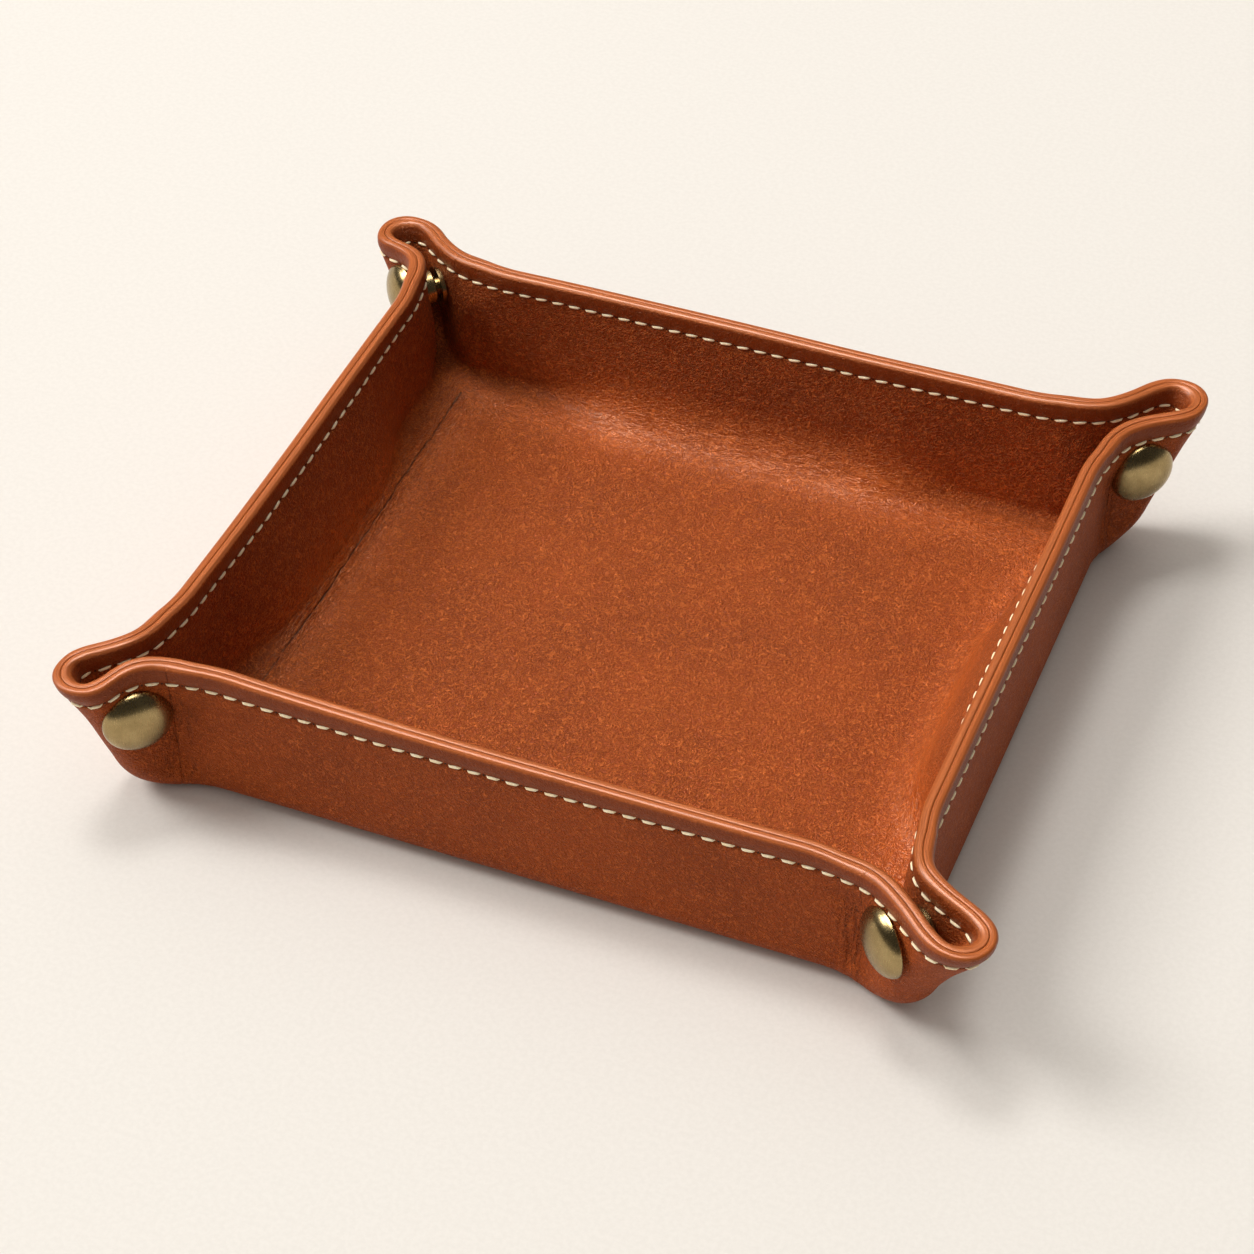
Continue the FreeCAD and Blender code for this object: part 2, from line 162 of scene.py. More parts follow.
# How the finished tray has settled: the rim's rise at the two ends and the middle of each wall,
# and how far each ear's tip has moved out, across (towards its first wall) and up
rimRise = {"front": (2.2, -0.6, 0.0), "right": (0.3, 0.0, 0.8), "back": (1.4, 0.5, -1.2), "left": (-0.4, 0.0, 1.8)}
tipMove = {"front_left": (-2.6, 0.0, -0.3), "front_right": (3.0, -3.5, -1.0), "back_right": (0.6, 0.3, 1.2),
           "back_left": (-3.2, 3.0, -1.0)}
# How sharply a rim turns up towards its ends
rimCurve = 2.2
# The mouth of an ear closes at the rim and its tip opens: how much, where along the ear and how widely
loop = {"mouth": 1.3, "mouthAt": -3, "mouthWidth": 7, "tip": 0.9, "tipAt": 11, "tipWidth": 5}
# Soft steps that bound those moves, from none to all: across a corner between its two walls, along and across
# an ear for its tip and for its mouth, from the middle of an ear to its sides, and up from the foot
steps = {"walls": (-6, 6), "tipAlong": (-3, 17), "tipAcross": (15, 9), "earAlong": (-13, -8), "earAcross": (11, 7),
         "earUp": (24, tray["height"]), "sides": (0.3, 2.2), "leanUp": (8, 32), "riseUp": (9, tray["height"])}
# Share of a tip's move that its foot makes too
footLean = 0.5


def cornerPoint(corner):
    sx, sy = cornerSigns[corner]
    return np.array([sx * tray["halfLength"], sy * tray["halfDepth"]])


def cornerPlan(points, corner):
    # Place of points from a corner: out along its bisector, and across towards its first wall
    sx, sy = cornerSigns[corner]
    out = np.array([sx, sy]) * diagonal
    across = np.array([-sx, sy]) * diagonal if sy < 0 else np.array([sx, -sy]) * diagonal
    plan = points[..., :2] - cornerPoint(corner)
    return plan @ out, plan @ across, out, across


def settle(points):
    # The whole tray's own unevenness, the same for everything at a place
    moved = np.array(points, float)
    x, y, z = np.moveaxis(moved.copy(), -1, 0)
    plans = {corner: cornerPlan(moved, corner) for corner in cornerSigns}
    first = {corner: smooth(*steps["walls"], plans[corner][1]) for corner in plans}
    shares = {
        "front": first["front_left"] * first["front_right"],
        "right": (1 - first["front_right"]) * first["back_right"],
        "back": (1 - first["back_right"]) * (1 - first["back_left"]),
        "left": first["back_left"] * (1 - first["front_left"]),
    }
    rise = 0
    for wall, (start, middle, end) in rimRise.items():
        turn = math.radians(wallTurns[wall])
        t = np.clip((math.cos(turn) * x + math.sin(turn) * y) / wallRun(wall), -1, 1)
        ends = np.abs(t) ** rimCurve
        rise = rise + shares[wall] * (np.where(t < 0, start, end) * ends + middle * (1 - ends))
    for corner, (u, v, out, across) in plans.items():
        aside = np.abs(v)
        tip = smooth(*steps["tipAlong"], u) * smooth(*steps["tipAcross"], aside)
        shift = tipMove[corner]
        rise = rise * (1 - tip) + shift[2] * tip
        ear = smooth(*steps["earAlong"], u) * smooth(*steps["earAcross"], aside) * smooth(*steps["earUp"], z)
        spread = loop["tip"] * np.exp(-((u - loop["tipAt"]) / loop["tipWidth"]) ** 2)
        spread = spread - loop["mouth"] * np.exp(-((u - loop["mouthAt"]) / loop["mouthWidth"]) ** 2)
        spread = spread * np.sign(v) * smooth(*steps["sides"], aside)
        lean = tip * (footLean + (1 - footLean) * smooth(*steps["leanUp"], z))
        moved[..., :2] += (lean * shift[0])[..., None] * out + (lean * shift[1] + ear * spread)[..., None] * across
    moved[..., 2] += rise * smooth(*steps["riseUp"], z)
    return moved


# Section of the leather from the glue line over the rim and down the face that shows
rimShape = {"round": 1.1, "bulge": 0.14, "lipEnd": 3.5, "stitch": 4.5, "groove": 0.3, "grooveWidth": 0.45}
# The dip in the rim at the glue line: distance from the line, and drop below the rim
glueDip = ((hide["glueGap"], 0.16), (0.14, 0.05), (0.32, 0))
rimAngles = np.radians(np.linspace(0, 90, 9))
rimCount = len(glueDip) + len(rimAngles)


def faceRows():
    r = rimShape["round"]
    rows = [(hide["glue"] - away, dip) for away, dip in glueDip]
    rows += [(r - r * math.sin(a), r - r * math.cos(a)) for a in rimAngles]
    # Rows are close together at the lip and closest at the stitching
    below = list(np.arange(1.6, 3.4, 0.4)) + list(np.arange(3.5, 5.6, 0.2))
    below += list(np.linspace(6, tray["height"] - hide["bend"], 40))
    for drop in below:
        lip = -rimShape["bulge"] * math.sin(math.pi * min(1, (drop - r) / (rimShape["lipEnd"] - r)))
        groove = rimShape["groove"] * math.exp(-((drop - rimShape["stitch"]) / rimShape["grooveWidth"]) ** 2)
        rows.append((lip + groove, drop))
    return np.array(rows)


rowDepth, rowDrop = faceRows().T
rowCount = len(rowDrop)
stitchRow = rimCount + int(np.argmin(np.abs(rowDrop[rimCount:] - rimShape["stitch"])))
# Rows keep their distance from the rim down to here, and share out the rest of the height below it
lipDrop = 8.0
bendAngles = np.radians(np.linspace(0, 90, 19))
tabDepths = np.linspace(hide["bend"], pinch["border"], 13)
# Rows of a bend with its tab on the floor, and of a whole wall
lowCount = len(bendAngles) + len(tabDepths) - 1
wallCount = rowCount + lowCount - 1
# Columns across a corner, close together at the crease
cornerShares = 1 - np.linspace(1, 0, 44) ** 1.5
# The lining leans in from a little below the rim and rounds the foot of each wall: lean in degrees, and radius
cove = {"front": (8, 6.0), "right": (24, 10.0), "back": (7, 14.0), "left": (15, 4.5)}
leanBelow = 2.5
# How far from the ends of a wall the lean and the wide radius are reached
leanEase = 30


def plateWidth(drop):
    # Distance from the fold of the slanted line that meets the crease this far below the rim
    z = tray["height"] - drop
    knee = hide["bend"] + pinch["foldRadius"]
    high = pinch["foldRadius"] + (z - knee) * math.cos(pinch["foldSlope"])
    return np.where(z > knee, high, z - hide["bend"])


def slantedPlace(width, ringDrop, drop, lastDrop):
    # How far up the fold's middle line a point lies that is this far below the rim
    slope = pinch["foldSlope"]
    top = arcEnd + (tray["height"] - arcTop - width * math.cos(slope) + ringDrop) / math.sin(slope)
    straight = top - drop / math.sin(slope)
    share = (lastDrop - drop) / np.maximum(lastDrop - lipDrop, 1e-6)
    low = (top - lipDrop / math.sin(slope)) * share
    return np.where((width > pinch["foldRadius"]) | (drop <= lipDrop), straight, np.maximum(low, 0))


def platePoints(wall, end, columns, depth):
    # Flat of an ear half: column j is a slanted line, which ends where it meets the crease
    j, k = np.meshgrid(columns, np.arange(rowCount), indexing="ij")
    k = np.minimum(k, j)
    depth = np.broadcast_to(depth, j.shape)
    depth = np.take_along_axis(depth, k, axis=1)
    drop, lastDrop = rowDrop[k], rowDrop[j]
    width = plateWidth(lastDrop)
    t = slantedPlace(width, 0, drop, lastDrop)
    u, z, outU, outZ = foldPath(t)
    u = np.where(k == j, creaseAlong, u - width * outU)
    z = np.where(k == j, tray["height"] - lastDrop, z - width * outZ)
    x = u - vertexAlong(depth)
    return cornerToWorld(wall, end, *foldedPlan(x, depth, z), z)


def foldPoints(wall, end, depth):
    # Round fold under an ear half, from its flat to the middle of the fold
    angle, k = np.meshgrid(bendAngles, np.arange(rowCount), indexing="ij")
    depth = np.broadcast_to(depth, k.shape)
    ring = hide["bend"] - depth
    drop = rowDrop[k]
    # Round at the rim and at the foot, pressed nearly flat between them
    opened = np.maximum(smooth(*pinch["rimOpen"], drop), smooth(rowDrop[-1] - pinch["footOpen"], rowDrop[-1], drop))
    slack = (hide["bend"] - hide["whole"]) * (1 - pinch["tight"]) * (1 - opened)
    reach = (ring - slack) * np.sin(angle)
    t = slantedPlace(0, reach * math.cos(pinch["foldSlope"]), drop, rowDrop[-1])
    u, z, outU, outZ = foldPath(t)
    u = u + reach * outU
    z = z + reach * outZ
    across = hide["bend"] - ring * np.cos(angle)
    x = u - vertexAlong(across)
    return cornerToWorld(wall, end, *foldedPlan(x, across, z), z)


def cornerX(shares, depth):
    start = -(pinch["border"] + (vertexAlong(depth) - hide["bend"] + depth) * diagonal)
    return start + (creaseAlong - vertexAlong(depth) - start) * shares


def earSidePoints(wall, end, depth):
    # Last stretch of a wall and its crease, above the bend
    share, drop = np.meshgrid(cornerShares, rowDrop, indexing="ij")
    depth = np.broadcast_to(depth, share.shape)
    z = tray["height"] - drop
    return cornerToWorld(wall, end, *foldedPlan(cornerX(share, depth), depth, z), z)


def fanPoints(wall, end, depth):
    # Bend under that stretch, and its part of the floor as far as the corner's bisector
    share, angle = np.meshgrid(cornerShares, bendAngles, indexing="ij")
    face = np.broadcast_to(depth, (len(cornerShares), lowCount))
    ring = hide["bend"] - face[:, :len(bendAngles)]
    across = hide["bend"] - ring * np.cos(angle)
    z = hide["bend"] - ring * np.sin(angle)
    bent = cornerToWorld(wall, end, *foldedPlan(cornerX(share, across), across, z), z)
    inner = cornerToWorld(wall, end, -pinch["border"] / diagonal, 0.0, 0.0)
    reach = inner + (bent[-1, -1] - inner) * cornerShares[:, None]
    out = np.linspace(0, 1, len(tabDepths))[None, 1:, None]
    floor = bent[:, -1:, :] * (1 - out) + reach[:, None, :] * out
    floor[..., 2] = face[:, len(bendAngles):]
    return np.concatenate([bent, floor], axis=1)


def leaningSection(wall, depth, ease):
    # Depth and height of the lining's face where it leans and rounds the bend widely, away from the corners
    base = hide["whole"]
    small = hide["bend"] - base
    lean, wide = cove[wall]
    tilt = math.radians(lean) * ease[:, None]
    radius = small + (wide - small) * ease[:, None]
    length = np.concatenate([rowDrop, rowDrop[-1] + small * bendAngles[1:],
                             rowDrop[-1] + small * math.pi / 2 + tabDepths[1:] - hide["bend"]])
    upLength = leanBelow + (tray["height"] - leanBelow - base - radius * (1 - np.sin(tilt))) / np.cos(tilt)
    arcStart = base + (upLength - leanBelow) * np.sin(tilt)
    arcLength = radius * (math.pi / 2 - tilt)
    whole = upLength + arcLength + pinch["border"] - arcStart - radius * np.cos(tilt)
    far = lipDrop + (length - lipDrop) * (whole - lipDrop) / (length[-1] - lipDrop)
    place = np.where(length < lipDrop, length, far)
    turn = np.clip(tilt + (place - upLength) / radius, tilt, math.pi / 2)
    past = np.maximum(place - upLength - arcLength, 0)
    uneven = depth - base
    straight = place < upLength
    lower = np.maximum(place - leanBelow, 0)
    d = np.where(straight, depth + lower * np.sin(tilt),
                 arcStart + radius * (np.cos(tilt) - np.cos(turn)) + past + uneven * np.cos(turn))
    z = np.where(straight, tray["height"] - np.minimum(place, leanBelow) - lower * np.cos(tilt),
                 base + radius * (1 - np.sin(turn)) + uneven * np.sin(turn))
    return d, z


def wallPoints(wall, along, depth, ease=None):
    # Whole section of a wall: upright, bend and a tab on the floor
    depth = np.broadcast_to(depth, (len(along), wallCount))
    if ease is not None:
        return toWorld(wall, along[:, None], *leaningSection(wall, depth, ease))
    upright = depth[:, :rowCount]
    ring = hide["bend"] - depth[:, rowCount:rowCount + len(bendAngles) - 1]
    angle = bendAngles[None, 1:]
    d = np.concatenate([upright, hide["bend"] - ring * np.cos(angle),
                        np.broadcast_to(tabDepths[1:], (len(along), len(tabDepths) - 1))], axis=1)
    z = np.concatenate([np.broadcast_to(tray["height"] - rowDrop, upright.shape),
                        hide["bend"] - ring * np.sin(angle), depth[:, rowCount + len(bendAngles) - 1:]], axis=1)
    return toWorld(wall, along[:, None], d, z)


print("sections ready:", rowCount, "rows")

# Closed leather pieces


def gridFaces(columns, rows, first, turned):
    index = first + np.arange(columns * rows).reshape(columns, rows)
    quads = np.stack([index[:-1, :-1], index[1:, :-1], index[1:, 1:], index[:-1, 1:]], axis=-1).reshape(-1, 4)
    return quads[:, ::-1] if turned else quads


def addObject(name, data):
    thing = bpy.data.objects.new(name, data)
    bpy.context.scene.collection.objects.link(thing)
    return thing


# Each leather piece with the number of its shown faces and the vertices on its border
shells = []


def makeShell(name, grids, outward):
    # grids: shown points, glued points, marks and facing of each patch. Patches join where their shown points meet.
    front = np.concatenate([grid[0].reshape(-1, 3) for grid in grids])
    back = np.concatenate([grid[1].reshape(-1, 3) for grid in grids])
    marks = {key: np.concatenate([np.broadcast_to(grid[2][key], grid[0].shape[:2]).reshape(-1) for grid in grids])
             for key in grids[0][2]}
    quads = []
    first = 0
    for grid in grids:
        columns, rows = grid[0].shape[:2]
        quads.append(gridFaces(columns, rows, first, grid[3] != outward))
        first += columns * rows
    firstIndex, inverse = np.unique(np.round(front, 4), axis=0, return_index=True, return_inverse=True)[1:]
    quads = inverse.reshape(-1)[np.concatenate(quads)]
    front, back = front[firstIndex], back[firstIndex]
    faces = []
    for quad in quads.tolist():
        ring = [a for i, a in enumerate(quad) if a != quad[i - 1]]
        if len(set(ring)) == len(ring) and len(ring) > 2:
            faces.append(ring)
    # The glued back repeats the shown faces, and a strip closes each edge that only one face has
    edges = dict.fromkeys((ring[i - 1], a) for ring in faces for i, a in enumerate(ring))
    rim = [(a, b) for a, b in edges if (b, a) not in edges]
    count = len(front)
    rear = [[a + count for a in reversed(ring)] for ring in faces]
    strips = [[b, a, a + count, b + count] for a, b in rim]
    mesh = bpy.data.meshes.new(name)
    mesh.from_pydata((np.concatenate([front, back]) * mm).tolist(), [], faces + rear + strips)
    for key, values in marks.items():
        layer = mesh.attributes.new(key, "FLOAT", "POINT")
        layer.data.foreach_set("value", np.tile(values[firstIndex], 2).astype(np.float32))
    mesh.shade_smooth()
    piece = addObject(name, mesh)
    shells.append((piece, len(faces), sorted({a for pair in rim for a in pair})))
    return piece


# Vertices of two pieces that are closer than this, in metres, share a shading normal
normalReach = 3e-6


def readAll(group, key, width=1, kind=float):
    found = np.empty(len(group) * width, kind)
    group.foreach_get(key, found)
    return found


def shareNormals():
    # One shading normal wherever two pieces of leather meet, so that no seam shows between them
    every = []
    for piece, faceCount, border in shells:
        mesh = piece.data
        loops = readAll(mesh.loops, "vertex_index", kind=int)
        sizes = readAll(mesh.polygons, "loop_total", kind=int)
        normals = readAll(mesh.polygons, "normal", 3).reshape(-1, 3)
        weighted = normals * readAll(mesh.polygons, "area")[:, None]
        owner = np.repeat(np.arange(len(sizes)), sizes)
        shown = owner < faceCount
        total = np.zeros((len(mesh.vertices), 3))
        np.add.at(total, loops[shown], weighted[owner[shown]])
        every.append((total, loops, owner, normals))
    tree = kdtree.KDTree(sum(len(border) for piece, faceCount, border in shells))
    owners = []
    for number, (piece, faceCount, border) in enumerate(shells):
        for vertex in border:
            tree.insert(piece.data.vertices[vertex].co, len(owners))
            owners.append((number, vertex))
    tree.balance()
    for (piece, faceCount, border), (total, loops, owner, normals) in zip(shells, every):
        shared = total.copy()
        for vertex in border:
            found = tree.find_range(piece.data.vertices[vertex].co, normalReach)
            shared[vertex] = sum(every[owners[i][0]][0][owners[i][1]] for place, i, distance in found)
        shared /= np.maximum(np.linalg.norm(shared, axis=1), 1e-12)[:, None]
        split = np.where((owner < faceCount)[:, None], shared[loops], normals[owner])
        piece.data.normals_split_custom_set(split.tolist())


def layerDepths(layer, rows, lower):
    # For each row of a section: depth of the shown face, depth of the glued back, and drop below the rim
    shown, drop = np.zeros(rows), np.full(rows, tray["height"])
    if not lower:
        shown[:rowCount], drop[:rowCount] = rowDepth, rowDrop
    if layer == "lining":
        return hide["whole"] - shown, np.full(rows, hide["glue"] + hide["glueGap"]), drop
    return shown, np.full(rows, hide["glue"] - hide["glueGap"]), drop


# Slow waviness of the walls, from its start above the foot
wave = {"amount": 0.3, "size": 26.0, "up": (5, 13)}
# Wrinkles pressed in beside each crease: where they lie, then narrow and broad streaks that are drawn out upwards
wrinkle = {"depth": 0.5, "reach": 4.2, "inset": 0.6, "footUp": (1, 6), "rimDown": (31, 24),
           "size": 1.5, "upright": 0.13, "width": 0.45,
           "broadSize": 3.1, "broadUpright": 0.2, "broadWidth": 0.3, "broadShare": 0.7}
# Each use of the noise has its own seed
seeds = {"wave": 3, "streaks": 5, "broad": 6}


def creaseNear(points):
    # 1 on the crease line of the nearest ear, 0 away from it
    near = 0
    for corner in cornerSigns:
        u, v = cornerPlan(points, corner)[:2]
        away = np.hypot(u + hide["bend"] + wrinkle["inset"], np.abs(v) - hide["bend"])
        near = near + np.exp(-(away / wrinkle["reach"]) ** 2)
    return near * smooth(*wrinkle["footUp"], points[..., 2]) * smooth(*wrinkle["rimDown"], points[..., 2])


def waveAt(middle, layer):
    drift = wave["amount"] * noise(middle, wave["size"], seeds["wave"]) * smooth(*wave["up"], middle[..., 2])
    if layer == "outer":
        streaks = noise(middle * np.array([1, 1, wrinkle["upright"]]), wrinkle["size"], seeds["streaks"])
        broad = noise(middle * np.array([1, 1, wrinkle["broadUpright"]]), wrinkle["broadSize"], seeds["broad"])
        pressed = np.clip(wrinkle["width"] - np.abs(streaks), 0, None)
        pressed = pressed + wrinkle["broadShare"] * np.clip(wrinkle["broadWidth"] - np.abs(broad), 0, None)
        drift = drift + wrinkle["depth"] * creaseNear(middle) * pressed
    return drift


# Where the lining is worn at the feet of the walls, and how strongly and how far up each wall it has cracked, in relief
# and in painted shade
wear = {"inset": 11, "height": 7, "reach": 8}
crackAt = {"left": 1.0, "right": 0.0, "front": 0.3, "back": 0.0}
crackShift = {"left": 7.4, "right": 0.0, "front": 3.8, "back": 0.0}
# Drops below the rim at which the burnished edge and the lip under it end, and the half width of the painted shade
# along the sewn groove
rimMarks = {"edge": (0.25, 1.0), "lip": (3.4, 4.6), "seam": 0.55}
# How far the glued back stays below the rim: at the glue line, how much more with each row, and the least
rimBack = {"sunk": 0.5, "perRow": 0.03, "least": 0.02}


def insetOf(points):
    return np.minimum(tray["halfLength"] - np.abs(points[..., 0]), tray["halfDepth"] - np.abs(points[..., 1]))


def footNear(points, layer):
    far = ((insetOf(points) - wear["inset"]) / wear["reach"]) ** 2
    far = far + ((points[..., 2] - wear["height"]) / wear["reach"]) ** 2
    return np.exp(-far) * (layer == "lining")


def patch(pointsOf, rows, layer, turned, wall, lower=False, frontOf=None):
    # One patch of leather: its shown face, its glued back, what its material needs to know, and its facing
    middle = pointsOf(np.full(rows, hide["glue"]))
    face, glued, drop = layerDepths(layer, rows, lower)
    front = (frontOf or pointsOf)(face[None, :] + waveAt(middle, layer))
    back = pointsOf(glued[None, :] + waveAt(middle, "lining"))
    if not lower:
        sink = rimBack["sunk"] + rimBack["perRow"] * np.arange(rimCount) - rowDrop[:rimCount]
        back[:, :rimCount, 2] -= np.maximum(sink, rimBack["least"])[None, :]
    turn = math.radians(wallTurns[wall])
    foot = footNear(front, layer)
    pastEdge = smooth(*rimMarks["edge"], drop)
    marks = {
        "edge": 1 - pastEdge,
        "lip": pastEdge * (1 - smooth(*rimMarks["lip"], drop)),
        "across": face,
        "along": math.cos(turn) * front[..., 0] + math.sin(turn) * front[..., 1],
        "crease": creaseNear(front),
        "foot": foot,
        "crack": foot * crackAt[wall],
        "crackFar": insetOf(front) - front[..., 2] - crackShift[wall],
        # seam marks where the sewn groove gets painted shade
        "seam": np.exp(-((drop - rimShape["stitch"]) / rimMarks["seam"]) ** 2),
    }
    return settle(front), settle(back), marks, turned


# Stitching path of each wall's two faces, gathered piece by piece from one ear's fold to the other's
seamPaths = {}
# Reach of the bend between the base and a wall, and of the bend between a wall and an ear; points at these reaches are
# worked out and not used
wallBlend = 5.0
earBlend = 6


def keepSeam(wall, layer, order, owner, columns):
    # columns: the piece's seam row, the way across it and the way out of it, in order along the wall
    seamPaths.setdefault((wall, layer), []).append((order, owner, columns))


def seamColumns(grid, first=0):
    front, back = grid[0], grid[1]
    columns = np.stack([front[:, stitchRow], front[:, stitchRow + 3] - front[:, stitchRow - 3],
                        front[:, stitchRow] - back[:, stitchRow]], axis=1)
    return columns[first:]


def makeWall(wall, layer):
    run = wallRun(wall) - pinch["border"]
    along = np.linspace(-run, run, int(2 * run) + 1)
    points = partial(wallPoints, wall, along)
    leaning = partial(points, ease=smooth(0, leanEase, run - np.abs(along))) if layer == "lining" else None
    grids = [patch(points, wallCount, layer, False, wall, frontOf=leaning)]
    for end in (-1, 1):
        grids.append(patch(partial(fanPoints, wall, end), lowCount, layer, end < 0, wall, lower=True))
    title = "outer_leather" if layer == "outer" else "lining"
    piece = makeShell(f"{wall}_wall_{title}_hide", grids, layer == "outer")
    toWorld(wall, 0.0, wallBlend, 0.0) * mm
    toWorld(wall, 0.0, 0.0, wallBlend) * mm
    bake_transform(piece)
    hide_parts(f"{wall}_wall_{title}")
    keepSeam(wall, layer, 0, ("wall",), seamColumns(grids[0]))
    return piece


halfPlate = int(np.argmin(np.abs(plateWidth(rowDrop) - pinch["parting"])))


def blendEar(piece, wall, end):
    across = hide["bend"] - hide["glue"]
    cornerToWorld(wall, end, creaseAlong - earBlend, across, 0.0) * mm
    cornerToWorld(wall, end, creaseAlong, across, 0.0) * mm
    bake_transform(piece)


def makeEar(wall, end, corner, layer):
    side = partial(earSidePoints, wall, end)
    plate = partial(platePoints, wall, end, np.arange(halfPlate + 1))
    grids = [patch(side, rowCount, layer, end < 0, wall), patch(plate, rowCount, layer, end > 0, wall)]
    piece = makeShell(f"{corner}_ear_{wall}_{layer}_hide", grids, layer == "outer")
    blendEar(piece, wall, end)
    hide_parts(f"{corner}_ear_{wall}_{layer}")
    columns = np.concatenate([seamColumns(grids[0])[1:], seamColumns(grids[1], stitchRow + 1)])
    keepSeam(wall, layer, end, ("ear", corner), columns[::end])
    return piece


def blendFold(piece, wall, end, layer):
    first = hide["bend"] - (hide["glue"] if layer == "outer" else hide["whole"])
    cornerToWorld(wall, end, 0.0, first, 0.0) * mm
    cornerToWorld(wall, end, 0.0, 0.0, 0.0) * mm
    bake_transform(piece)


def makeFold(wall, end, corner, layer):
    plate = partial(platePoints, wall, end, np.arange(halfPlate, rowCount))
    rounded = partial(foldPoints, wall, end)
    grids = [patch(plate, rowCount, layer, end > 0, wall), patch(rounded, rowCount, layer, end > 0, wall)]
    piece = makeShell(f"{corner}_fold_{wall}_{layer}_hide", grids, layer == "outer")
    blendFold(piece, wall, end, layer)
    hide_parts(f"{corner}_fold_{wall}_{layer}")
    columns = np.concatenate([seamColumns(grids[0])[1:], seamColumns(grids[1])[1:]])
    keepSeam(wall, layer, 2 * end, ("fold", corner), columns[::end])
    return piece


def makeFloor(layer):
    across = tray["halfLength"] - pinch["border"]
    deep = tray["halfDepth"] - pinch["border"]
    x, y = np.meshgrid(np.linspace(-across, across, int(2 * across) + 1),
                       np.linspace(-deep, deep, int(2 * deep) + 1), indexing="ij")
    face, glued = (column[0] for column in layerDepths(layer, 1, True)[:2])
    front = np.stack([x, y, np.full(x.shape, face)], axis=-1)
    back = np.stack([x, y, np.full(x.shape, glued)], axis=-1)
    title = "base_outer_leather" if layer == "outer" else "base_lining"
    marks = dict.fromkeys(("edge", "lip", "crease", "crack", "crackFar", "seam"), np.zeros(x.shape))
    marks.update({"across": np.full(x.shape, face), "along": x, "foot": footNear(front, layer)})
    piece = makeShell(title + "_hide", [(front, back, marks, False)], layer == "outer")
    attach(piece, "base")
    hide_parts(title)
    return piece


leatherPieces = {}
for layer in ("outer", "lining"):
    pieces = [makeFloor(layer)]
    for wall, corners in wallEnds.items():
        pieces.append(makeWall(wall, layer))
        for end, corner in zip((-1, 1), corners):
            pieces += [makeEar(wall, end, corner, layer), makeFold(wall, end, corner, layer)]
    leatherPieces[layer] = pieces
shareNormals()
print("leather:", sum(len(p) for p in leatherPieces.values()), "pieces",
      sum(len(shell[0].data.polygons) for shell in shells), "faces")

# Stitching

# One stitch, and the near-black piece sunk between two that paints the shade of a needle hole. Slant and sway are in
# degrees, and beside is how far to each side of a stitch the seam's direction is read.
thread = {"pitch": 4.1, "length": 3.25, "width": 0.68, "height": 0.62, "ends": 0.4, "dive": 0.36, "sunk": 0.06,
          "slant": 5.0, "sway": 2.5, "swayStep": 2.3, "beside": 1.3, "hole": 0.62, "holeDepth": 0.17}


def deselect():
    bpy.ops.object.select_all(action="DESELECT")


def modelStitch():
    # One stitch: a bead drawn out along X, its ends pulled down into the leather
    deselect()
    bpy.ops.mesh.primitive_uv_sphere_add(segments=8, ring_count=7, radius=0.5, rotation=(0, math.pi / 2, 0))
    bead = bpy.context.object
    bpy.ops.object.transform_apply(rotation=True)
    bpy.ops.object.mode_set(mode="EDIT")
    bpy.ops.mesh.select_all(action="SELECT")
    bpy.ops.transform.resize(value=(thread["length"], thread["width"], thread["height"]))
    bpy.ops.mesh.select_all(action="DESELECT")
    bpy.ops.object.mode_set(mode="OBJECT")
    for vertex in bead.data.vertices:
        vertex.select = abs(vertex.co.x) > thread["ends"] * thread["length"]
    bpy.ops.object.mode_set(mode="EDIT")
    bpy.ops.transform.translate(value=(0, 0, -thread["dive"]))
    bpy.ops.object.mode_set(mode="OBJECT")
    points = np.array([vertex.co[:] for vertex in bead.data.vertices])
    faces = [list(polygon.vertices) for polygon in bead.data.polygons]
    mesh = bead.data
    bpy.data.objects.remove(bead)
    bpy.data.meshes.remove(mesh)
    return points, faces


stitchPoints, stitchFaces = modelStitch()
holePoints = stitchPoints / np.array([thread["length"], thread["width"], thread["height"]]) * thread["hole"]
threadPieces = []


def placeStitch(columns, length, at, index):
    # Points of a stitch, or of the dark piece after it that paints a needle hole's shade, at a distance along the seam
    stitch = index % 2 == 0
    near = min(int(np.searchsorted(length, at)), len(length) - 1)
    place, ahead, behind = (np.array([np.interp(at + step, length, columns[:, 0, axis]) for axis in range(3)])
                            for step in (0, thread["beside"], -thread["beside"]))
    along = (ahead - behind) / np.linalg.norm(ahead - behind)
    out = np.cross(along, columns[near, 1])
    out = out * np.sign(out @ columns[near, 2])
    out = out - along * (out @ along)
    out /= np.linalg.norm(out)
    across = np.cross(out, along)
    turn = math.radians(thread["slant"] + thread["sway"] * math.sin(index * thread["swayStep"]))
    shape = stitchPoints if stitch else holePoints
    lift = thread["height"] / 2 - thread["sunk"] if stitch else -thread["holeDepth"]
    placed = (np.outer(shape[:, 0] * math.cos(turn) - shape[:, 1] * math.sin(turn), along)
              + np.outer(shape[:, 0] * math.sin(turn) + shape[:, 1] * math.cos(turn), across)
              + np.outer(shape[:, 2] + lift, out) + place)
    return near, (placed, 0.0 if stitch else 1.0)


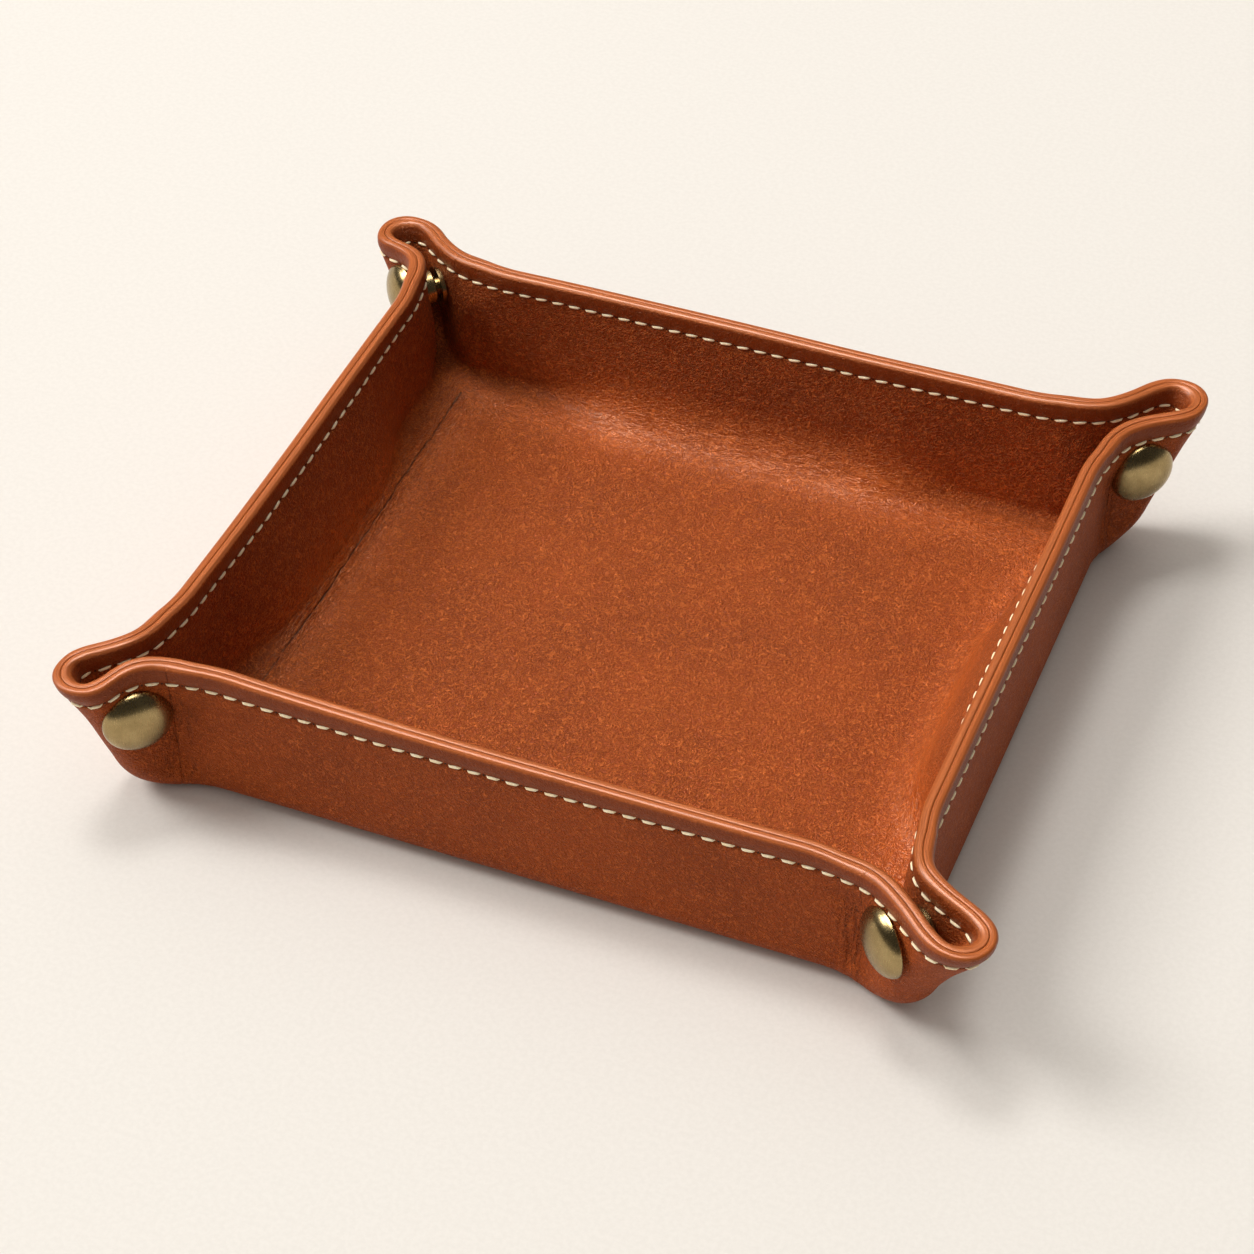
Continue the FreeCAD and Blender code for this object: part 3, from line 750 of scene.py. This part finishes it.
def sewWall(wall, layer):
    parts = sorted(seamPaths[(wall, layer)], key=lambda part: part[0])
    columns = np.concatenate([part[2] for part in parts])
    owners = sum([[part[1]] * len(part[2]) for part in parts], [])
    length = np.concatenate([[0], np.cumsum(np.linalg.norm(np.diff(columns[:, 0], axis=0), axis=1))])
    count = int(round(length[-1] / thread["pitch"]))
    sewn = {}
    for index in range(2 * count):
        near, stitch = placeStitch(columns, length, index / 2 * length[-1] / count, index)
        sewn.setdefault(owners[near], []).append(stitch)
    size = len(stitchPoints)
    for owner, stitches in sewn.items():
        title = f"{wall}_wall" if owner[0] == "wall" else f"{owner[1]}_{owner[0]}_{wall}"
        name = f"{title}_{layer}_thread"
        mesh = bpy.data.meshes.new(name)
        faces = [[vertex + number * size for vertex in face] for number in range(len(stitches)) for face in stitchFaces]
        mesh.from_pydata((np.concatenate([points for points, hole in stitches]) * mm).tolist(), [], faces)
        # hole is 1 on the pieces that paint a needle hole's shade
        dark = mesh.attributes.new("hole", "FLOAT", "POINT")
        dark.data.foreach_set("value", np.repeat([hole for points, hole in stitches], size).astype(np.float32))
        mesh.shade_smooth()
        piece = addObject(name, mesh)
        if owner[0] == "wall":
            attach(piece, f"{wall}_wall")
        else:
            end = 1 if wallEnds[wall][1] == owner[1] else -1
            if owner[0] == "ear":
                blendEar(piece, wall, end)
            else:
                blendFold(piece, wall, end, layer)
        threadPieces.append(piece)


for wall, layer in seamPaths:
    sewWall(wall, layer)
print("thread:", len(threadPieces), "pieces")

# Materials


class Value:
    # A socket that can be reckoned with as a number
    def __init__(self, nodes, socket):
        self.nodes = nodes
        self.socket = socket

    def maths(self, operation, *terms):
        return self.nodes.node("ShaderNodeMath", {"operation": operation}, dict(enumerate(terms)))

    def __add__(self, other):
        return self.maths("ADD", self, other)

    def __radd__(self, other):
        return self.maths("ADD", other, self)

    def __sub__(self, other):
        return self.maths("SUBTRACT", self, other)

    def __rsub__(self, other):
        return self.maths("SUBTRACT", other, self)

    def __mul__(self, other):
        return self.maths("MULTIPLY", self, other)

    def __rmul__(self, other):
        return self.maths("MULTIPLY", other, self)

    def __abs__(self):
        return self.maths("ABSOLUTE", self)


class Nodes:
    # A node tree, and the one way in which nodes are added to it
    def __init__(self, tree):
        self.tree = tree

    def node(self, kind, settings=None, inputs=None, out=0):
        made = self.tree.nodes.new(kind)
        for key, setting in (settings or {}).items():
            setattr(made, key, setting)
        for key, given in (inputs or {}).items():
            self.feed(made.inputs[key], given)
        return Value(self, made.outputs[out])

    def feed(self, socket, given):
        if isinstance(given, Value):
            self.tree.links.new(given.socket, socket)
        else:
            socket.default_value = given


class Finish(Nodes):
    # A material with one Principled shader and the nodes that feed it
    def __init__(self, name, **fixed):
        self.material = bpy.data.materials.new(name)
        self.material.use_nodes = True
        super().__init__(self.material.node_tree)
        self.shader = self.tree.nodes["Principled BSDF"]
        for socket, number in fixed.items():
            self.set(socket.replace("_", " "), number)

    def set(self, socket, given):
        self.feed(self.shader.inputs[socket], given)

    def mix(self, share, first, second):
        return self.node("ShaderNodeMix", {"data_type": "RGBA"}, {0: share, 6: first, 7: second}, out=2)

    def place(self, stretch=None):
        at = self.node("ShaderNodeTexCoord", out="Object")
        if stretch is None:
            return at
        return self.node("ShaderNodeMapping", None, {"Vector": at, "Scale": stretch})

    def vector(self, x, y, z):
        return self.node("ShaderNodeCombineXYZ", None, {0: x, 1: y, 2: z})

    def noise(self, place, perMetre, detail=2.0, rough=0.5, warp=0.0):
        return self.node("ShaderNodeTexNoise", None, {"Vector": place, "Scale": perMetre, "Detail": detail,
                         "Roughness": rough, "Distortion": warp}, out="Fac")

    def cells(self, place, perMetre):
        return self.node("ShaderNodeTexVoronoi", {"feature": "DISTANCE_TO_EDGE"},
                         {"Vector": place, "Scale": perMetre}, out="Distance")

    def ramp(self, share, low, high):
        return self.node("ShaderNodeMapRange", {"interpolation_type": "SMOOTHSTEP"},
                         {"Value": share, "From Min": low, "From Max": high})

    def line(self, share, width):
        # 1 where a noise crosses its middle, in a thin line
        return 1 - self.ramp(abs(share - 0.5), 0.0, width)

    def mark(self, name):
        return self.node("ShaderNodeAttribute", {"attribute_name": name}, out="Fac")

    def bump(self, height, distance, strength=1.0, under=None):
        inputs = {"Height": height, "Distance": distance, "Strength": strength}
        if under is not None:
            inputs["Normal"] = under
        return self.node("ShaderNodeBump", None, inputs)


# Noises of the leather: cycles per metre, or per millimetre where they follow a mark, then detail, roughness and warp
noises = {
    "cloud": (38.0, 3.0, 0.55),
    "speck": (300.0, 3.0, 0.62),
    "hair": (620.0, 1.0, 0.5, 1.1),
    "fineHair": (1200.0, 1.0, 0.5, 0.8),
    "footWeb": (0.55, 2.0, 0.55, 1.1),
    "fineWeb": (1.1, 1.0, 0.5, 0.9),
    "streaks": (640.0, 2.0, 0.55, 0.4),
    "wander": (150.0, 2.0),
    "beside": (0.7, 2.0, 0.5, 0.7),
    "rimLines": (1.0, 2.0, 0.55),
}
poresPerMetre = 1150.0
# How much of each colour is laid over the ground colour (streaks, split, beside and seam lay painted shade), and how
# high each feature stands in the relief
cover = {"speck": 0.28, "hair": 0.58, "fineHair": 0.44, "streaks": 0.36, "footWeb": 0.3, "split": 0.85, "beside": 0.3,
         "lip": 0.75, "seam": 0.42, "edge": 0.92}
relief = {"pores": 0.6, "fineHair": 0.7, "rimLines": 0.9, "footWeb": 1.2, "streaks": 1.3, "split": 1.5, "beside": 1.5}
# Bump distance in metres and strength, of the grain and of the wrinkles over it
grainBump = (0.00021, 0.95)
foldBump = (0.00012, 0.8)


def leatherFinish(name, tone):
    finish = Finish(name, Specular_IOR_Level=tone["gloss"], Specular_Tint=(1.0, 0.72, 0.5, 1), Coat_Roughness=0.28)
    place = finish.place()
    edge, lip, seam, across, along = (finish.mark(key) for key in ("edge", "lip", "seam", "across", "along"))
    crease, foot, crack, crackFar = (finish.mark(key) for key in ("crease", "foot", "crack", "crackFar"))
    cloud = finish.noise(place, *noises["cloud"])
    speck = finish.noise(place, *noises["speck"])
    hair = finish.line(finish.noise(place, *noises["hair"]), 0.07)
    fineHair = finish.line(finish.noise(place, *noises["fineHair"]), 0.1)
    worn = foot * (0.65 + 0.35 * finish.ramp(cloud, 0.35, 0.65))
    # Wrinkles drawn out along the wall at its foot, and upright streaks beside a crease; the streaks carry painted
    # shade in their hollows
    footPlace = finish.vector(0.8 * crackFar, 0.3 * along, 0.0)
    footWeb = finish.line(finish.noise(footPlace, *noises["footWeb"]), 0.07)
    footWeb = footWeb + 0.35 * finish.line(finish.noise(footPlace, *noises["fineWeb"]), 0.08)
    streaks = finish.line(finish.noise(finish.place((1.0, 1.0, 0.16)), *noises["streaks"]), 0.06)
    # A broken crack runs along the foot with fine wrinkles beside it, both darkened with painted shade in their grooves
    wander = crackFar + 1.4 * (finish.noise(place, *noises["wander"]) - 0.5) + 0.7 * (speck - 0.5)
    split = crack * (1 - finish.ramp(abs(wander), 0.12, 0.42)) * finish.ramp(speck, 0.32, 0.5)
    besideWeb = finish.noise(finish.vector(crackFar, 0.2 * along, 0.0), *noises["beside"])
    beside = crack * (1 - finish.ramp(abs(crackFar), 1.5, 8.0)) * finish.line(besideWeb, 0.08)
    # The cut edge of the rim shows lines that follow it
    rimLines = finish.noise(finish.vector(2.3 * across, 0.02 * along, 0.0), *noises["rimLines"])
    rim = finish.mix(finish.ramp(rimLines, 0.34, 0.66), tone["edgeDark"], tone["edge"])
    layers = (
        (cover["speck"] * finish.ramp(speck, 0.42, 0.72), tone["speck"]),
        (cover["hair"] * hair + cover["fineHair"] * fineHair, tone["hair"]),
        # painted shade in the hollows of the streaks beside a crease
        (cover["streaks"] * crease * streaks, tone["deep"]),
        (cover["footWeb"] * foot * footWeb, tone["hair"]),
        # painted shade in the crack along the foot and in the wrinkles beside it
        (cover["split"] * split + cover["beside"] * beside, tone["deep"]),
        (cover["lip"] * lip, tone["lip"]),
        # painted shade in the sewn groove along the stitching
        (cover["seam"] * seam, tone["deep"]),
        (cover["edge"] * edge, rim),
    )
    colour = finish.mix(finish.ramp(cloud, 0.28, 0.72), tone["dark"], tone["light"])
    for share, over in layers:
        colour = finish.mix(share, colour, over)
    finish.set("Base Color", colour)
    finish.set("Roughness", 0.5 + 0.14 * speck - 0.1 * edge - 0.3 * worn - 0.12 * lip)
    finish.set("Coat Weight", 0.4 * edge + 0.12 * lip)
    pores = finish.ramp(finish.cells(place, poresPerMetre), 0.0, 0.25)
    grain = relief["pores"] * pores + hair + relief["fineHair"] * fineHair
    # The grain is pressed flat at the edge, the lip and the worn foot
    grain = grain * (1 - edge) * (1 - 0.6 * lip) * (1 - 0.93 * foot) + relief["rimLines"] * edge * rimLines
    folds = relief["footWeb"] * foot * footWeb + relief["streaks"] * crease * streaks
    folds = folds + relief["split"] * split + relief["beside"] * beside
    finish.set("Normal", finish.bump(1 - folds, *foldBump, under=finish.bump(grain, *grainBump)))
    return finish.material


# deep is the near-black painted shade of the crease streaks, the crack, the wrinkles beside it and the sewn groove
bothTones = {"deep": (0.06, 0.011, 0.003, 1), "edge": (0.42, 0.105, 0.021, 1), "edgeDark": (0.32, 0.076, 0.0145, 1)}
tones = {
    "outer": {**bothTones, "dark": (0.25, 0.0375, 0.004, 1), "light": (0.345, 0.0545, 0.006, 1),
              "speck": (0.41, 0.071, 0.009, 1), "hair": (0.52, 0.107, 0.019, 1), "lip": (0.18, 0.03, 0.005, 1),
              "gloss": 0.24},
    "lining": {**bothTones, "dark": (0.205, 0.0295, 0.0028, 1), "light": (0.285, 0.044, 0.0045, 1),
               "speck": (0.36, 0.061, 0.0075, 1), "hair": (0.60, 0.14, 0.026, 1), "lip": (0.20, 0.034, 0.0055, 1),
               "gloss": 0.42},
}
for layer, pieces in leatherPieces.items():
    material = leatherFinish(f"{layer}Leather", tones[layer])
    for piece in pieces:
        piece.data.materials.append(material)
        "outer_leather" if layer == "outer" else "lining_leather"


def threadFinish():
    finish = Finish("creamThread", Roughness=0.6, Specular_IOR_Level=0.3)
    twist = finish.noise(finish.place(), 1500.0, 2.0, 0.6)
    cream = finish.mix(finish.ramp(twist, 0.3, 0.7), (0.95, 0.74, 0.44, 1), (1.0, 0.89, 0.64, 1))
    # The pieces marked hole are near-black: painted shade of the needle holes between the stitches
    finish.set("Base Color", finish.mix(finish.mark("hole"), cream, (0.035, 0.01, 0.004, 1)))
    finish.set("Normal", finish.bump(twist, 0.0001, 0.6))
    return finish.material


waxedThread = threadFinish()
for piece in threadPieces:
    piece.data.materials.append(waxedThread)

# Snaps: the cap's radius, the CAD cap's rise above the leather, the dome that replaces it and how far it is sunk
cap = {"radius": 7.5, "rise": 2.2, "dome": 3.9, "sunk": 0.2}


def makeCap(corner, node):
    # A higher dome than the CAD cap, half of a flattened ball, seated where the leather has settled
    points = np.array([node.matrix_world @ vertex.co for vertex in node.data.vertices]) / mm
    u, v, out, across = cornerPlan(points, corner)
    foot = v.max() - cap["rise"] - cap["sunk"]
    middle = cornerPoint(corner) + out * (u.min() + u.max()) / 2 + across * foot
    seat = settle(np.array([[*middle, (points[:, 2].min() + points[:, 2].max()) / 2]]))[0]
    deselect()
    bpy.ops.mesh.primitive_uv_sphere_add(segments=64, ring_count=48, radius=cap["radius"] * mm)
    piece = bpy.context.object
    piece.name = f"{corner}_snap_dome"
    bpy.ops.object.mode_set(mode="EDIT")
    bpy.ops.mesh.select_all(action="SELECT")
    bpy.ops.transform.resize(value=(1, 1, cap["dome"] / cap["radius"]))
    bpy.ops.mesh.bisect(plane_co=(0, 0, 0), plane_no=(0, 0, 1), use_fill=True, clear_inner=True)
    bpy.ops.mesh.select_all(action="SELECT")
    bpy.ops.mesh.normals_make_consistent(inside=False)
    bpy.ops.object.mode_set(mode="OBJECT")
    bpy.ops.object.shade_smooth()
    piece.rotation_euler = Vector((*across, 0)).to_track_quat("Z", "Y").to_euler()
    piece.location = seat * mm
    bpy.ops.object.transform_apply(location=True, rotation=True)
    return piece


def seatSnap(name, node):
    # The rest of a snap keeps the CAD's shape and moves with the leather that it clamps
    mesh = node.data.copy()
    mesh.transform(node.matrix_world)
    points = np.array([vertex.co[:] for vertex in mesh.vertices]) / mm
    middle = (points.min(axis=0) + points.max(axis=0)) / 2
    mesh.transform(Matrix.Translation((settle(middle[None])[0] - middle) * mm))
    return addObject(name, mesh)


def brassFinish():
    finish = Finish("antiqueBrass", Metallic=1.0)
    place = finish.place()
    cloud = finish.noise(place, 220.0, 4.0, 0.6)
    brush = finish.noise(finish.place((1.0, 1.0, 0.1)), 2600.0, 2.0, 0.6)
    tarnish = finish.ramp(cloud, 0.25, 0.75)
    finish.set("Base Color", finish.mix(tarnish, (0.30, 0.215, 0.095, 1), (0.42, 0.31, 0.145, 1)))
    finish.set("Roughness", 0.2 + 0.06 * cloud + 0.08 * brush)
    finish.set("Normal", finish.bump(brush, 0.00001, 0.4))
    return finish.material


brass = brassFinish()
for corner in cornerSigns:
    for part, walls in (("cap", firstWall), ("socket", firstWall), ("stud", secondWall), ("post", secondWall)):
        name = f"{corner}_snap_{part}"
        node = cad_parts[name]
        piece = makeCap(corner, node) if part == "cap" else seatSnap(name + "_seated", node)
        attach(piece, f"{corner}_ear_{walls[corner]}")
        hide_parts(name)
        piece.data.materials.clear()
        piece.data.materials.append(brass)
print("finishes ready")

# Camera, floor and light

view = {"azimuth": math.radians(21.74), "elevation": math.radians(42.8), "distance": 0.75782,
        "target": Vector((-0.00697, 0.00612, 0)), "pixels": 1254, "focalPixels": 3472.7, "sensor": 36.0}


def makeCamera():
    lens = bpy.data.cameras.new("view")
    lens.sensor_width = view["sensor"]
    lens.lens = view["focalPixels"] / view["pixels"] * view["sensor"]
    camera = addObject("view", lens)
    back = Vector((math.sin(view["azimuth"]) * math.cos(view["elevation"]),
                   -math.cos(view["azimuth"]) * math.cos(view["elevation"]), math.sin(view["elevation"])))
    right = Vector((math.cos(view["azimuth"]), math.sin(view["azimuth"]), 0))
    turn = Matrix((right, back.cross(right), back)).transposed().to_4x4()
    camera.matrix_world = Matrix.Translation(view["target"] + back * view["distance"]) @ turn
    bpy.context.scene.camera = camera


def makeFloorPlane():
    deselect()
    bpy.ops.mesh.primitive_plane_add(size=6)
    plane = bpy.context.object
    plane.name = "paleFloor"
    finish = Finish("paleFloor", Roughness=0.9, Specular_IOR_Level=0.1)
    fleck = finish.noise(finish.place(), 900.0, 3.0, 0.6)
    flecks = finish.ramp(fleck, 0.3, 0.7)
    finish.set("Base Color", finish.mix(flecks, (0.735, 0.695, 0.64, 1), (0.765, 0.725, 0.67, 1)))
    plane.data.materials.append(finish.material)


def makeLamp(name, place, size, power):
    lamp = bpy.data.lights.new(name, "AREA")
    lamp.size = size
    lamp.energy = power
    thing = addObject(name, lamp)
    thing.location = place
    thing.rotation_euler = (-Vector(place)).to_track_quat("-Z", "Y").to_euler()


def makeRoom():
    world = bpy.data.worlds.new("room")
    bpy.context.scene.world = world
    world.use_nodes = True
    nodes = Nodes(world.node_tree)
    direction = nodes.node("ShaderNodeTexCoord", out="Generated")
    levels = []
    for kind, way in (("soft", "towards"), ("glossy", "overhead")):
        facing = nodes.node("ShaderNodeVectorMath", {"operation": "DOT_PRODUCT"}, {0: direction, 1: room[way]}, "Value")
        limits = dict(zip(("From Min", "From Max", "To Min", "To Max"), room[kind]))
        levels.append(nodes.node("ShaderNodeMapRange", {"interpolation_type": "SMOOTHSTEP"},
                                 {"Value": facing, **limits}))
    glossy = nodes.node("ShaderNodeLightPath", out="Is Glossy Ray")
    background = nodes.tree.nodes["Background"].inputs
    nodes.feed(background["Strength"], nodes.node("ShaderNodeMix", None, {0: glossy, 2: levels[0], 3: levels[1]}))
    nodes.feed(background["Color"], room["colour"])


# Place, size and power of each lamp
lamps = {"softKey": ((-3.1, -0.4, 3.1), 1.9, 120.0), "softTop": ((-0.8, 0.6, 2.8), 0.7, 24.0)}
# The room is brighter on the side of the lamp, and in reflections overhead. Soft and glossy: the range of the facing
# with a direction, and the strengths at its ends.
room = {"colour": (1.0, 0.965, 0.92, 1), "towards": (-0.68, 0.15, 0.72), "soft": (-0.3, 0.95, 0.12, 0.85),
        "overhead": (-0.27, 0.17, 0.95), "glossy": (0.92, 0.995, 0.06, 20.0)}
makeCamera()
makeFloorPlane()
for name, (place, size, power) in lamps.items():
    makeLamp(name, place, size, power)
makeRoom()
bpy.context.scene.view_settings.view_transform = "Standard"
print("stage ready")
